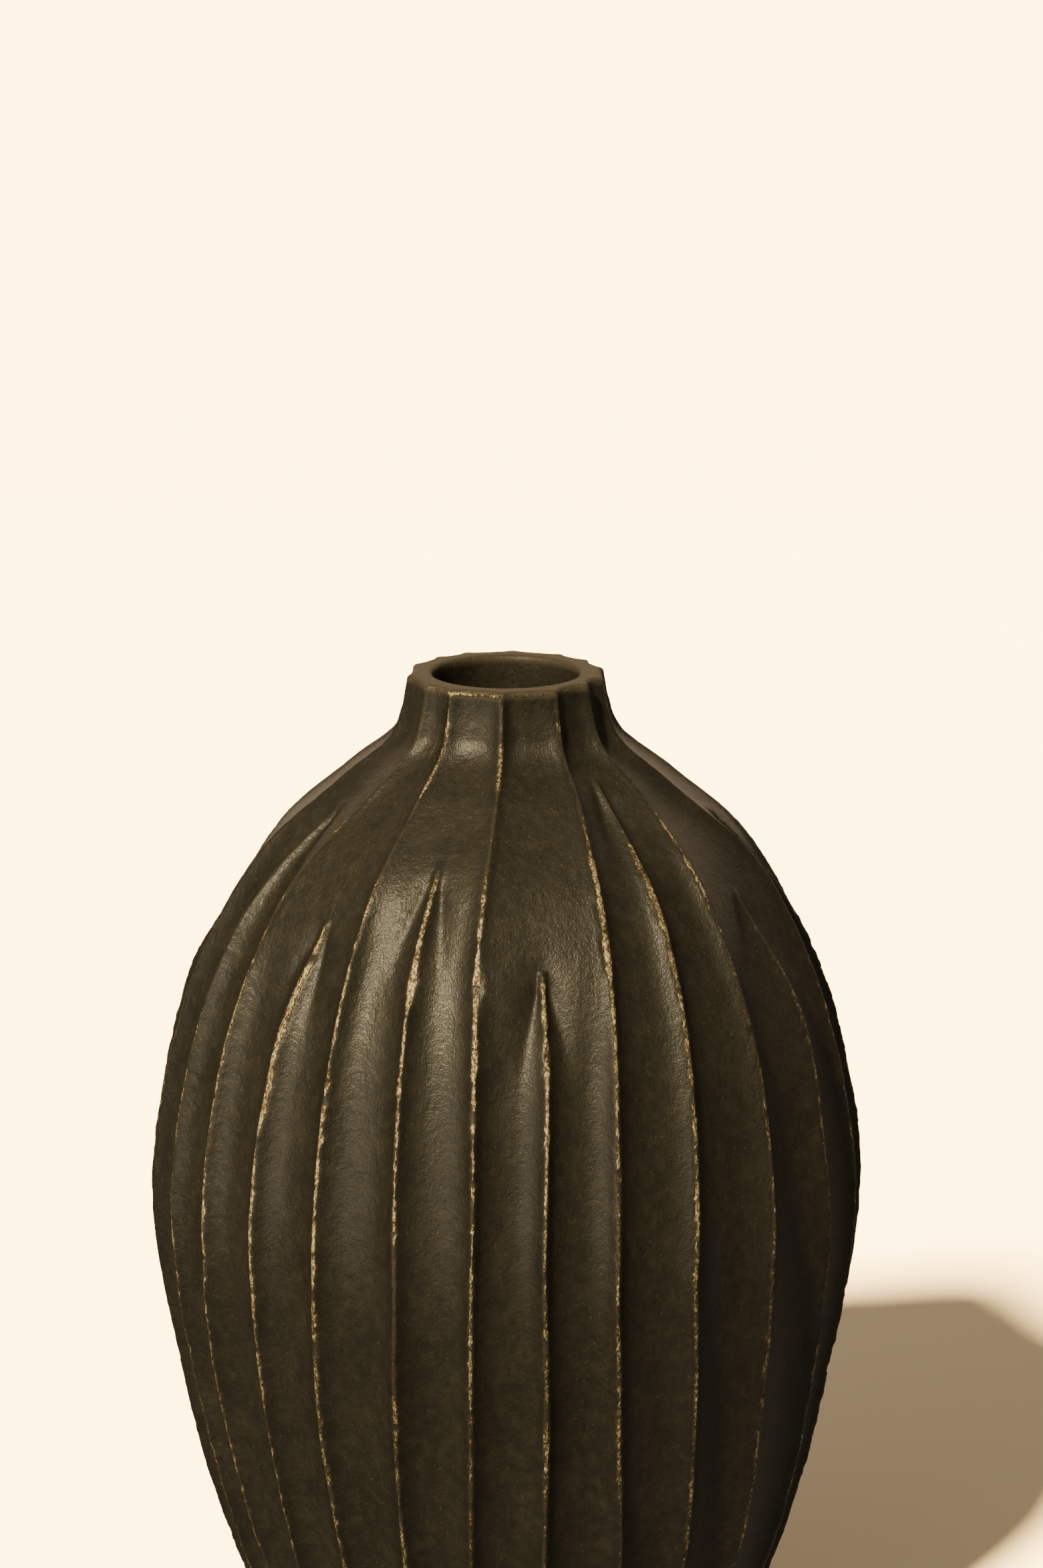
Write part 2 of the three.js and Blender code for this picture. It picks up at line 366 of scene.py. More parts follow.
# How much bronze shows along each front ridge, as (depth below the lip, strength): 0.5 is bare black clay
# and 1 is rubbed bright. The back ridges follow the last row, each moved along by up to BACK_SHIFT.
# Their fall towards the foot is painted shade, where less light reaches, as well as wear.
BRONZE_AND_SHADE_ALONG = {
    -6: [(0, 0.5), (60, 0.6), (100, 0.8), (150, 0.8), (280, 0.7)],
    -5: [(29, 0.5), (60, 0.62), (90, 0.8), (140, 0.85), (280, 0.75)],
    -4: [(0, 0.5), (28, 0.55), (40, 0.68), (58, 0.72), (75, 0.95), (120, 1), (170, 0.85), (280, 0.75)],
    -3: [(49, 0.75), (53, 1), (110, 1.05), (150, 0.9), (200, 0.8)],
    -2: [(0, 0.75), (3, 0.92), (22, 0.9), (27, 0.55), (35, 0.6), (38, 0.82), (50, 0.85), (56, 1), (115, 1),
         (160, 0.85), (200, 0.8)],
    -1: [(35, 0.62), (41, 0.78), (48, 0.95), (58, 1.05), (105, 1), (118, 0.78), (128, 0.55), (150, 0.55),
         (157, 0.8), (200, 0.85)],
    0: [(0, 0.6), (10, 0.68), (13, 0.86), (20, 0.86), (24, 0.62), (34, 0.66), (40, 0.88), (48, 1.05),
        (110, 1.02), (160, 0.85), (200, 0.75)],
    1: [(56, 1), (75, 1), (110, 0.92), (150, 0.85), (200, 0.75)],
    2: [(0, 0.55), (4, 0.7), (10, 0.7), (13, 0.5), (23, 0.55), (28, 0.76), (33, 0.8), (37, 0.98), (65, 1),
        (90, 0.92), (120, 0.88), (170, 0.85), (200, 0.7)],
    3: [(21, 0.5), (30, 0.55), (34, 0.88), (45, 1), (60, 0.88), (100, 0.9), (200, 0.8)],
    4: [(0, 0.5), (26, 0.5), (30, 0.88), (42, 0.88), (50, 0.72), (100, 0.72), (150, 0.78), (200, 0.74)],
    5: [(48, 0.5), (56, 0.6), (70, 0.76), (110, 0.78), (200, 0.72)],
    6: [(0, 0.5), (60, 0.5), (75, 0.75), (200, 0.75)],
    "back": [(0, 0.55), (15, 0.72), (35, 0.62), (60, 0.92), (110, 1), (160, 0.85), (280, 0.75)],
}
BACK_SHIFT = 12
BARE = 0.5

# Half the width of a rubbed top, its wavers over long, short and very short lengths, and its limits.
SLOW_CELL, QUICK_CELL, FINE_CELL = 24, 5, 1.3
RUBBED, SLOW_WAVER, QUICK_WAVER, FINE_WAVER = 0.46, 0.13, 0.1, 0.07
NARROWEST, WIDEST = 0.2, 1.0
CHIP_DEPTH, CHIP_SHOWS = 0.12, 0.08
EASE = 0.5  # roundness of a rubbed crest
RAGGED_FINE, RAGGED_COARSE = (0.26, 0.8), (0.2, 1.9)  # the bronze's ragged edge: amounts and sizes
SHAPE_RAGGED = 0.45  # how much of it the shape has too
STEEPNESS_RANGE = (0.15, 1.3)
WEAR_ENDS, WEAR_FADES = 1.2, 2.5  # how far from a crest the wear ends, and in what length
BRONZE_PAST = 0.22  # the bronze reaches this far past the rubbed top


def bronze_and_shade_lines():
    """Strength of the bronze on each ridge at each of the wear's samples, with painted shade towards the
    foot.
    """
    shifts = rng.uniform(-BACK_SHIFT, BACK_SHIFT, RIDGES)
    lines = []
    for number, shift in zip(NUMBERS, shifts):
        front = int(number) in BRONZE_AND_SHADE_ALONG
        along = np.array(BRONZE_AND_SHADE_ALONG[int(number) if front else "back"], float)
        lines.append(np.interp(wear_depth, along[:, 0] + (0 if front else shift), along[:, 1]))
    return np.array(lines)


def ridge_wear(bronze_with_painted_light):
    """Half the width of each ridge's rubbed top, and the depth of its chips."""
    count = len(wear_depth)
    slow, quick, fine = (
        line_noise(RIDGES, HEIGHT, WEAR_STEP, cell)[:, :count] for cell in (SLOW_CELL, QUICK_CELL, FINE_CELL)
    )
    wavering = RUBBED + SLOW_WAVER * slow + QUICK_WAVER * quick + FINE_WAVER * fine
    half_widths = np.clip(wavering, NARROWEST, WIDEST)
    half_widths *= 0.6 + 0.4 * smooth((bronze_with_painted_light - BARE) / 0.4)
    for number, (middle, reach, more) in BROAD_WEAR.items():
        index = list(NUMBERS).index(number)
        half_widths[index] += more * hump(wear_depth - middle, reach) * (1 + 0.5 * quick[index])
    return half_widths, CHIP_DEPTH * np.clip(0.8 * quick + 0.7 * fine - 1.9, 0, 1.0)


def at_ridges(lines):
    """A value known along each ridge, on each row and column: that of the nearer ridge."""
    by_ridge = np.array([np.interp(outer_z, wear_samples, line) for line in lines])
    return by_ridge[nearer_ridge].T


def steepness():
    """Slope of the flutes' sides beside each crest, on each row and column: that of the nearer ridge."""
    beside = 3  # columns away from the crest
    by_flute = (cut - crest_cut).reshape(len(outer_z), RIDGES, COLUMNS_PER_FLUTE)
    width = from_crest.reshape(by_flute.shape)
    right = by_flute[:, :, beside] / width[:, :, beside]
    left = np.roll(by_flute[:, :, -beside] / width[:, :, -beside], 1, axis=1)
    return np.clip((left + right) / 2, *STEEPNESS_RANGE)[:, nearer_ridge]


def worn():
    """Depth of the carved surface with its crests rubbed down, and from 0 to 1 how much bronze shows, painted
    shade included.
    """
    bronze_with_painted_light = bronze_and_shade_lines()
    half_width, chips = (at_ridges(lines) for lines in ridge_wear(bronze_with_painted_light))
    steep = steepness()
    ragged = layer(rough_place, *RAGGED_FINE) + layer(rough_place, *RAGGED_COARSE, offset=50)
    wear = steep * (half_width + SHAPE_RAGGED * ragged) + chips
    # How far below its crest the surface is, with enough added to keep the wear off the flutes' floors and
    # off the wide flute above a short ridge.
    below_crest = cut - crest_cut + 3 * smooth((from_crest - WEAR_ENDS) / WEAR_FADES) + 5 * (1 - begun)
    worn_cut = cut - below_crest + soft_maximum(below_crest, wear, EASE * steep)
    reach = half_width + ragged + BRONZE_PAST - from_crest
    edge = 0.3 + 0.7 * np.clip(half_width - 0.6, 0, 1)
    unchipped = 1 - 0.6 * smooth(chips / CHIP_SHOWS)
    return worn_cut, smooth(reach / edge) * unchipped * begun * at_ridges(bronze_with_painted_light)


worn_cut, crest_mask = worn()

# ---- Hand-carved unevenness of the flutes ----

# Some flutes were finished with a rounded tool that left small dents.
hammered_by_flute = np.clip(rng.uniform(-0.6, 1.0, RIDGES), 0, 1)
hammered_by_flute[FRONT_FLUTES] = [0.7, 1.0, 0.9, 0.3, 0.35, 0.1, 0.1, 0.0, 0.15, 0.0, 0.1, 0.1]
hammered = np.broadcast_to(hammered_by_flute[column_flute], cut.shape)
SCOOPED_DEPTH = 1.6  # as deep as this, a flute is as uneven as it gets
DRAWN_OUT = (1, 1, 0.14)  # the waves are drawn out up and down
LONG_WAVES, SHORT_WAVES = (0.1, 7), (0.03, 3.2)  # amounts and sizes
DENT_DEPTHS, DENT_SIZE = (0.018, 0.1), 2.1  # from the smoothest flute to the most dented
LEAST_CUT = 0.03


def uneven(depth):
    scooped = smooth(cut / SCOOPED_DEPTH)
    drawn_out = rough_place * DRAWN_OUT
    waves = layer(drawn_out, *LONG_WAVES) + layer(drawn_out, *SHORT_WAVES, offset=31)
    dents = layer(rough_place, mix(*DENT_DEPTHS, hammered), DENT_SIZE, offset=77)
    return np.maximum(depth + scooped * waves + (0.25 + 0.75 * scooped) * dents, LEAST_CUT)


outer_radius = crest_radius - uneven(worn_cut)
outer_place = places(outer_radius, outer_azimuth, outer_z[:, None])

# ---- Foot, lip and inside rows ----

MOUTH = float(radius_on(INNER_CURVE, HEIGHT))
FOOT_BEVEL, FOOT_BEVEL_HEIGHT = 0.4, 0.12  # on the inner edge of the foot ring
FOOT_FLAT_EDGE = 0.5
HOLLOWS, HOLLOW_SQUASH = (0.35, 14), (1, 1, 2.2)  # amount and size, and flatter than they are wide
lip_base, foot_base = outer_radius[-1], outer_radius[0]
quarter = np.linspace(0, np.pi / 2, ROUND_STEPS)[1:]


def lip_ring(radius, z):
    return places(radius, outer_azimuth[-1], z)


def foot_ring(radius, z):
    return places(radius + np.zeros(COLUMNS), outer_azimuth[0], z)


def lip_rows():
    """Over the lip: round its outer edge, in along its flat top, and round the edge of the mouth."""
    rows = [
        lip_ring(lip_base - EDGE_ROUND * (1 - np.cos(q)), HEIGHT - EDGE_ROUND * (1 - np.sin(q)))
        for q in quarter
    ]
    for step in range(1, LIP_TOP_ROWS):
        rows.append(lip_ring(mix(lip_base - EDGE_ROUND, MOUTH + EDGE_ROUND, step / LIP_TOP_ROWS), HEIGHT))
    for q in [0.0, *quarter]:
        ring = np.full(COLUMNS, MOUTH + EDGE_ROUND * (1 - np.sin(q)))
        rows.append(lip_ring(ring, HEIGHT - EDGE_ROUND * (1 - np.cos(q))))
    return rows


def foot_rows():
    """From the floor disc's seat, out along the flat ring that the pot stands on, and up round its edge."""
    return [
        foot_ring(FLOOR_SEAT + FOOT_BEVEL, FLOOR_LOW),
        foot_ring(FOOT_RING_INNER - FOOT_BEVEL, FOOT_BEVEL_HEIGHT),
        foot_ring(FOOT_RING_INNER + FOOT_BEVEL, 0.0),
        foot_ring(foot_base - EDGE_ROUND - FOOT_FLAT_EDGE, 0.0),
    ] + [
        foot_ring(foot_base - EDGE_ROUND * (1 - np.sin(q)), EDGE_ROUND * (1 - np.cos(q)))
        for q in quarter[:-1]
    ]


def inner_rows_up():
    """The inside from the floor up, with the soft hollows that a potter's hand leaves."""
    azimuth, z = column_azimuths(inner_z), inner_z[:, None]
    radius = np.repeat(radius_on(INNER_CURVE, inner_z)[:, None], COLUMNS, axis=1)
    fade = smooth((HEIGHT - 2 - z) / 6) * smooth((z - FLOOR_HIGH) / 6)
    hollows = layer(places(radius, azimuth, z) * HOLLOW_SQUASH, *HOLLOWS)
    return places(radius + fade * hollows, azimuth, z)


foot_part, lip_part = foot_rows(), lip_rows()
sheet = np.concatenate([foot_part, outer_place, lip_part, inner_rows_up()[::-1][1:]])
OUTER_FIRST = len(foot_part)
LIP_FIRST = OUTER_FIRST + len(outer_z)
INNER_FIRST = LIP_FIRST + len(lip_part)


def sheet_normals():
    down = np.empty_like(sheet)
    down[1:-1] = sheet[2:] - sheet[:-2]
    down[0], down[-1] = sheet[1] - sheet[0], sheet[-1] - sheet[-2]
    around = np.roll(sheet, -1, axis=1) - np.roll(sheet, 1, axis=1)
    across = np.cross(around, down)
    return across / np.maximum(np.linalg.norm(across, axis=-1, keepdims=True), 1e-9)


normals = sheet_normals()

# ---- What the shader reads from each vertex ----

BESIDE_REACH = 2.6
STROKE_RADIUS = 90
# The bronze band of the lip's outer edge: where it begins and ends below the top, the azimuths in degrees
# between which it has a painted highlight where the key light falls, and its level elsewhere and there.
BAND_LOW, BAND_HIGH = 2.3, 0.7
HIGHLIGHT_FROM, HIGHLIGHT_TO = -38, -5
BAND_LEVELS = (0.62, 0.95)


def in_outer(values):
    whole = np.zeros(sheet.shape[:2])
    whole[OUTER_FIRST:LIP_FIRST] = values
    return whole


def lip_edge_bronze_and_highlight():
    """Rubbed bronze along the lip's outer edge, with a painted highlight between two ridges left of the
    front.
    """
    degrees = np.degrees(outer_azimuth[-1])
    # The bright stretch is a painted highlight on the side that the key light faces.
    bright = smooth((degrees - HIGHLIGHT_FROM) / 4) * (1 - smooth((degrees - HIGHLIGHT_TO) / 5))
    level = mix(*BAND_LEVELS, bright) + layer(sheet[LIP_FIRST], 0.08, 5)
    height = sheet[..., 2]
    outside = np.hypot(sheet[..., 0], sheet[..., 1]) > lip_base - 1.0
    band = smooth((height - (HEIGHT - BAND_LOW)) / 1.0) * (1 - smooth((height - (HEIGHT - BAND_HIGH)) / 0.6))
    return level * band * outside


def lip_share():
    """1 on the top of the lip, and fading below its outer edge."""
    whole = in_outer(smooth((outer_z[:, None] - (HEIGHT - 2.2)) / 1.2))
    whole[LIP_FIRST:INNER_FIRST] = 1
    return whole


def inside_share():
    whole = np.zeros(sheet.shape[:2])
    whole[INNER_FIRST:] = 1
    return whole


def stroke_places():
    """Where the tool streaks are looked up: on a round column, at the length along the wall."""
    turn = 2 * np.pi * (column_flute + column_share) / RIDGES
    height = sheet[:, 0, 2]
    radius = np.hypot(sheet[:, 0, 0], sheet[:, 0, 1])
    length = np.cumsum(np.concatenate([[0], np.hypot(np.diff(height), np.diff(radius))]))
    column = (STROKE_RADIUS * np.sin(turn), STROKE_RADIUS * np.cos(turn))
    return np.stack(np.broadcast_arrays(column[0][None], column[1][None], length[:, None]), axis=-1)


ATTRIBUTES = {
    # The bronze strength, with painted shade on the lower ridges and a painted highlight on the lip's edge.
    "gold": np.maximum(in_outer(crest_mask), lip_edge_bronze_and_highlight()),
    "lip": lip_share(),
    "inside": inside_share(),
    "hammered": in_outer(hammered),
    "beside": in_outer(begun * hump(from_crest, BESIDE_REACH)),
}
stroke = stroke_places()

# ---- Meshes ----


def put_attribute(mesh, key, values):
    kind, field = ("FLOAT", "value") if values.ndim == 1 else ("FLOAT_VECTOR", "vector")
    attribute = mesh.attributes.new(key, kind, "POINT")
    attribute.data.foreach_set(field, values.astype(np.float32).ravel())


def linked(name, mesh):
    obj = bpy.data.objects.new(name, mesh)
    bpy.context.scene.collection.objects.link(obj)
    return obj


def wall_mesh(name, points, faces, uvs, values, vertex_normals):
    mesh = bpy.data.meshes.new(name)
    mesh.vertices.add(len(points))
    mesh.vertices.foreach_set("co", (points * MM).astype(np.float32).ravel())
    mesh.loops.add(faces.size)
    mesh.loops.foreach_set("vertex_index", faces.astype(np.int32).ravel())
    mesh.polygons.add(len(faces))
    starts = np.arange(0, faces.size, faces.shape[1], dtype=np.int32)
    mesh.polygons.foreach_set("loop_start", starts)
    mesh.polygons.foreach_set("use_smooth", np.ones(len(faces), bool))
    mesh.uv_layers.new(name="OFBake").uv.foreach_set("vector", uvs.astype(np.float32).ravel())
    for key, value in values.items():
        put_attribute(mesh, key, value)
    mesh.update(calc_edges=True)
    mesh.validate()
    mesh.normals_split_custom_set_from_vertices(vertex_normals.astype(np.float32))
    return mesh


UV_MARGIN = 0.005


def wall_uvs(count, strips):
    """Each strip of rows (first row, last row, low, high) gets that part of the UV square's height."""
    u = np.arange(COLUMNS + 1) / COLUMNS * (1 - 2 * UV_MARGIN) + UV_MARGIN
    v_low, v_high = np.zeros(count), np.zeros(count)
    for first, last, low, high in strips:
        edges = np.linspace(low, high, last - first + 1)
        v_low[first:last], v_high[first:last] = edges[:-1], edges[1:]
    uvs = np.empty((count, COLUMNS, 4, 2))
    uvs[..., 0] = np.stack([u[:-1], u[1:], u[1:], u[:-1]], axis=-1)[None]
    uvs[..., 1] = np.stack([v_low, v_low, v_high, v_high], axis=-1)[:, None]
    return uvs.reshape(-1, 2)


def section_piece(name, outside, inner, before=(), between=()):
    """A closed ring of the sheet's rows, in profile order: the foot's rows before the outside, then the
    outside, the lip's rows between, and the inside from its top down."""
    rows = np.array([*before, *outside, *between, *inner])
    count = len(rows)
    fore = count - len(inner)
    strips = [
        (0, fore - 1, 0.0, 0.74), (fore - 1, fore, 0.75, 0.78),
        (fore, count - 1, 0.79, 0.95), (count - 1, count, 0.96, 0.99),
    ]
    grid = np.arange(count * COLUMNS).reshape(count, COLUMNS)
    right = np.roll(grid, -1, axis=1)
    faces = np.stack([grid, right, np.roll(right, -1, axis=0), np.roll(grid, -1, axis=0)], axis=-1)
    values = {key: value[rows].ravel() for key, value in ATTRIBUTES.items()}
    values["stroke"] = stroke[rows].reshape(-1, 3)
    points, vertex_normals = sheet[rows].reshape(-1, 3), normals[rows].reshape(-1, 3)
    mesh = wall_mesh(name, points, faces.reshape(-1, 4), wall_uvs(count, strips), values, vertex_normals)
    return linked(name, mesh)


def outer_rows(low, high):
    return range(OUTER_FIRST + low, OUTER_FIRST + high + 1)


def inner_rows(low, high):
    """Rows of the inside, from the higher one down."""
    top = INNER_FIRST + len(inner_z) - 2
    return range(top - high, top - low + 1)


pieces = {
    "lower_wall": section_piece(
        "clay_lower_wall", outer_rows(0, outer_ends[0]), inner_rows(0, inner_ends[0]),
        before=range(OUTER_FIRST)),
    "belly_wall": section_piece(
        "clay_belly_wall", outer_rows(outer_ends[0], outer_ends[1]),
        inner_rows(inner_ends[0], inner_ends[1])),
    "shoulder_wall": section_piece(
        "clay_shoulder_wall", outer_rows(outer_ends[1], outer_ends[2]),
        inner_rows(inner_ends[1], inner_ends[2])),
    "neck_collar": section_piece(
        "clay_neck_collar", outer_rows(outer_ends[2], outer_ends[3]),
        inner_rows(inner_ends[2], inner_ends[3] - 1), between=range(LIP_FIRST, INNER_FIRST)),
}

# ---- The floor disc ----

DISC_COLUMNS = 112
DISC_FLAT = 37  # its faces are uneven inside this radius
DISC_MIDDLE = (FLOOR_LOW + FLOOR_HIGH) / 2


def disc_rings():
    """Radius and height of the disc's rings: from the middle of its underside out, up and back in."""
    seat_top = float(radius_on(INNER_CURVE, FLOOR_HIGH))
    low = [(r, FLOOR_LOW) for r in (6, 14, 22, 30, FLOOR_SEAT - 1.2, FLOOR_SEAT - 0.4)]
    side = [(mix(FLOOR_SEAT, seat_top, t), mix(FLOOR_LOW, FLOOR_HIGH, t)) for t in (0.0, 0.33, 0.67, 1.0)]
    high = [(r, FLOOR_HIGH) for r in (seat_top - 1, 36, 28, 20, 13, 6)]
    return low + side + high


def disc_points(rings):
    """The rings' points, uneven on the flat faces, and then the middle of the underside and of the top."""
    angle = np.arange(DISC_COLUMNS) * 2 * np.pi / DISC_COLUMNS
    points = np.array([places(np.full(DISC_COLUMNS, r), angle, z) for r, z in rings]).reshape(-1, 3)
    swell = layer(points, 0.25, 13, offset=11)
    radius = np.hypot(points[:, 0], points[:, 1])
    flat = (radius < DISC_FLAT) * smooth((DISC_FLAT - radius) / 6)
    points[:, 2] += np.where(points[:, 2] > DISC_MIDDLE, 1, -0.4) * flat * (swell - 0.3)
    return np.vstack([points, [[0, 0, FLOOR_LOW]], [[0, 0, FLOOR_HIGH - 0.1]]])


def disc_faces(rings):
    """Four-sided faces between the rings, and a fan round each of the two middles."""
    columns = range(DISC_COLUMNS)
    low_middle = rings * DISC_COLUMNS
    last = low_middle - DISC_COLUMNS
    faces = []
    for first in range(0, last, DISC_COLUMNS):
        for i in columns:
            a, b = first + i, first + (i + 1) % DISC_COLUMNS
            faces.append((a, b, b + DISC_COLUMNS, a + DISC_COLUMNS))
    for i in columns:
        faces.append((low_middle, (i + 1) % DISC_COLUMNS, i))
        faces.append((last + i, last + (i + 1) % DISC_COLUMNS, low_middle + 1))
    return faces


def floor_piece():
    rings = disc_rings()
    points = disc_points(rings)
    mesh = bpy.data.meshes.new("clay_floor_disc")
    mesh.from_pydata((points * MM).tolist(), [], disc_faces(len(rings)))
    layer = mesh.uv_layers.new(name="OFBake")
    for loop in mesh.loops:
        x, y, z = points[loop.vertex_index]
        layer.uv[loop.index].vector = ((0.25 if z < DISC_MIDDLE else 0.75) + x / 200, 0.5 + y / 100)
    mesh.polygons.foreach_set("use_smooth", np.ones(len(mesh.polygons), bool))
    for key in ATTRIBUTES:
        put_attribute(mesh, key, np.full(len(points), 1.0 if key == "inside" else 0.0))
    put_attribute(mesh, "stroke", points)
    return linked("clay_floor_disc", mesh)


pieces["floor_disc"] = floor_piece()

# ---- Clay material ----


class Nodes:
    """A short way to write a material's nodes and links."""

    def __init__(self, material):
        material.use_nodes = True
        self.tree = material.node_tree
        self.tree.nodes.clear()

    def add(self, kind, settings=None, **inputs):
        node = self.tree.nodes.new(kind)
        for key, value in (settings or {}).items():
            setattr(node, key, value)
        for key, value in inputs.items():
            self.put(node, key, value)
        return node

    def put(self, node, key, value):
        """key is an input's name, with _ for a space, or i and its number."""
        names = {s.name.replace(" ", "_"): s for s in reversed(node.inputs)}
        socket = node.inputs[int(key[1:])] if key[1:].isdigit() and key[0] == "i" else names[key]
        if isinstance(value, bpy.types.NodeSocket):
            self.tree.links.new(value, socket)
        else:
            socket.default_value = value

    def math(self, operation, a, b=0.0, c=0.0, clamp=False):
        node = self.add("ShaderNodeMath", {"operation": operation, "use_clamp": clamp}, i0=a, i1=b, i2=c)
        return node.outputs[0]

    def times(self, a, b):
        return self.math("MULTIPLY", a, b)

    def add_times(self, base, a, b, clamp=False):
        """base + a * b"""
        return self.math("MULTIPLY_ADD", a, b, base, clamp)

    def ramp(self, value, low, high, out_low=0.0, out_high=1.0):
        node = self.add("ShaderNodeMapRange", {"interpolation_type": "SMOOTHSTEP"}, Value=value)
        for key, number in (("From_Min", low), ("From_Max", high), ("To_Min", out_low), ("To_Max", out_high)):
            self.put(node, key, number)
        return node.outputs["Result"]

    def blend(self, factor, a, b):
        node = self.add("ShaderNodeMix", {"data_type": "RGBA"}, i0=factor, i6=a, i7=b)
        return node.outputs[2]

    def noise(self, vector, size_mm, detail=2.0, roughness=0.5):
        node = self.add("ShaderNodeTexNoise", Vector=vector, Scale=1.0 / size_mm, Detail=detail,
                        Roughness=roughness)
        return node.outputs["Fac"]

    def cells(self, vector, size_mm):
        node = self.add("ShaderNodeTexVoronoi", {"feature": "F1"}, Vector=vector, Scale=1 / size_mm,
                        Randomness=1.0)
        return node.outputs["Distance"]

    def attribute(self, name, output="Fac"):
        return self.add("ShaderNodeAttribute", {"attribute_name": name}).outputs[output]

    def scaled(self, vector, scale):
        node = self.add("ShaderNodeMapping", Vector=vector, Scale=scale)
        return node.outputs["Vector"]


DARK_CLAY, LIGHTER_CLAY = (0.0148, 0.0134, 0.0094, 1), (0.0208, 0.0187, 0.013, 1)
STREAK_TONE, SPECK_TONE = (0.036, 0.031, 0.02, 1), (0.22, 0.175, 0.1, 1)
PIT_TONE, HOLLOW_TONE = (0.009, 0.008, 0.0055, 1), (0.0085, 0.0075, 0.005, 1)
BROWN_TONE = (0.034, 0.0285, 0.0175, 1)
MOTTLE_DARK, MOTTLE_BROWN = (0.008, 0.007, 0.0048, 1), (0.05, 0.042, 0.027, 1)
# The first of these is painted shade beside the crests; the second is the brown edge of the bronze.
CREST_SHADE_TONE, EDGE_TONE = (0.0085, 0.0075, 0.0055, 1), (0.05, 0.039, 0.024, 1)
BRONZE_TONES = (0.07, 0.054, 0.029, 1), (0.38, 0.3, 0.165, 1), (0.95, 0.82, 0.54, 1)
LIP_TONES = (0.032, 0.0265, 0.018, 1), (0.07, 0.057, 0.038, 1)


def clay_fields(n):
    """The vertex values and noises that the clay's colour, roughness and relief are made from."""
    place = n.scaled(n.add("ShaderNodeTexCoord").outputs["Object"], (1 / MM, 1 / MM, 1 / MM))
    f = SimpleNamespace(place=place)
    f.gold, f.lip, f.inside = n.attribute("gold"), n.attribute("lip"), n.attribute("inside")
    f.hammered, f.beside = n.attribute("hammered"), n.attribute("beside")
    f.cloud = n.noise(place, 16, 3, 0.55)
    f.patches = n.noise(place, 6, 3, 0.6)
    f.mottle = n.noise(n.scaled(place, (1, 1, 0.7)), 2.6, 4, 0.68)
    f.dimple = n.noise(place, 2.1, 1, 0.5)
    f.lump = n.noise(place, 1.15, 2, 0.55)
    f.grain = n.noise(place, 0.32, 2, 0.6)
    f.fine = n.noise(place, 0.17, 1, 0.5)
    f.sand = n.cells(place, 0.45)
    f.streak = n.noise(n.scaled(n.attribute("stroke", "Vector"), (1, 1, 0.04)), 0.65, 3, 0.65)
    f.crust = n.noise(n.scaled(place, (1, 1, 0.5)), 0.55, 3, 0.7)
    # Painted shade beside the crests, where the ridges' sides fall into shadow; the clay there is also made
    # rougher.
    f.soot = n.times(f.beside, n.ramp(n.noise(place, 4.5, 3, 0.6), 0.36, 0.6, 0.15, 0.85))
    broken = n.noise(n.scaled(place, (1, 1, 0.55)), 1.3, 4, 0.7)
    # The bronze mask follows the bronze strength, with its painted highlight on the lip's edge and painted
    # shade on the lower ridges.
    level = n.add_times(n.math("SUBTRACT", f.patches, 0.5), f.gold, 0.9)
    f.rubbed = n.ramp(n.math("ADD", broken, level), 1.1, 1.22)
    return f


def bare_clay(n, f):
    """Colour of the burnished clay: dark, streaked by the tool, mottled, and with painted shade beside the
    crests.
    """
    speck = n.ramp(n.cells(f.place, 1.6), 0.13, 0.06)
    colour = n.blend(n.ramp(f.cloud, 0.35, 0.68), DARK_CLAY, LIGHTER_CLAY)
    for share, tone in (
        (n.times(n.ramp(f.streak, 0.5, 0.75), 0.3), STREAK_TONE),
        (n.times(n.ramp(f.grain, 0.5, 0.36), 0.5), PIT_TONE),
        (n.times(speck, 0.3), SPECK_TONE),
        (n.times(n.ramp(f.lump, 0.5, 0.34), 0.4), HOLLOW_TONE),
        (n.times(n.ramp(f.patches, 0.48, 0.62), 0.15), BROWN_TONE),
        (n.times(n.ramp(f.mottle, 0.5, 0.34), 0.45), MOTTLE_DARK),
        (n.times(n.ramp(f.mottle, 0.5, 0.68), 0.22), MOTTLE_BROWN),
        # painted shade beside the crests
        (f.soot, CREST_SHADE_TONE),
        (n.ramp(f.gold, 0.1, 0.5, 0.0, 0.5), EDGE_TONE),
    ):
        colour = n.blend(share, colour, tone)
    return colour


def clay_colour(n, f):
    """The bare clay, the brown top of the lip, and the bronze that has a dark, a middle and a bright tone."""
    # The bronze's tone rises with the same strength, painted highlight and shade included.
    tone = n.add_times(n.add_times(-2.85, f.crust, 3.2), f.patches, 1.2)
    tone = n.add_times(tone, f.gold, 1.05)
    bronze_with_painted_light = n.blend(n.ramp(tone, 0.0, 0.55), BRONZE_TONES[0], BRONZE_TONES[1])
    bronze_with_painted_light = n.blend(n.ramp(tone, 0.45, 1.0), bronze_with_painted_light, BRONZE_TONES[2])
    lip_tone = n.blend(n.noise(f.place, 2.2, 3, 0.6), *LIP_TONES)
    colour = n.blend(n.times(f.lip, 0.85), bare_clay(n, f), lip_tone)
    return n.blend(f.rubbed, colour, bronze_with_painted_light)


def clay_roughness(n, f):
    rough = n.add_times(0.47, f.cloud, 0.12)
    rough = n.add_times(rough, n.ramp(f.grain, 0.5, 0.64), -0.2)
    rough = n.add_times(n.math("ADD", rough, 0.04), f.streak, -0.1)
    rough = n.add_times(rough, f.soot, 0.12)
    rough = n.add_times(rough, f.inside, 0.12)
    return n.add_times(rough, f.lip, 0.2, clamp=True)


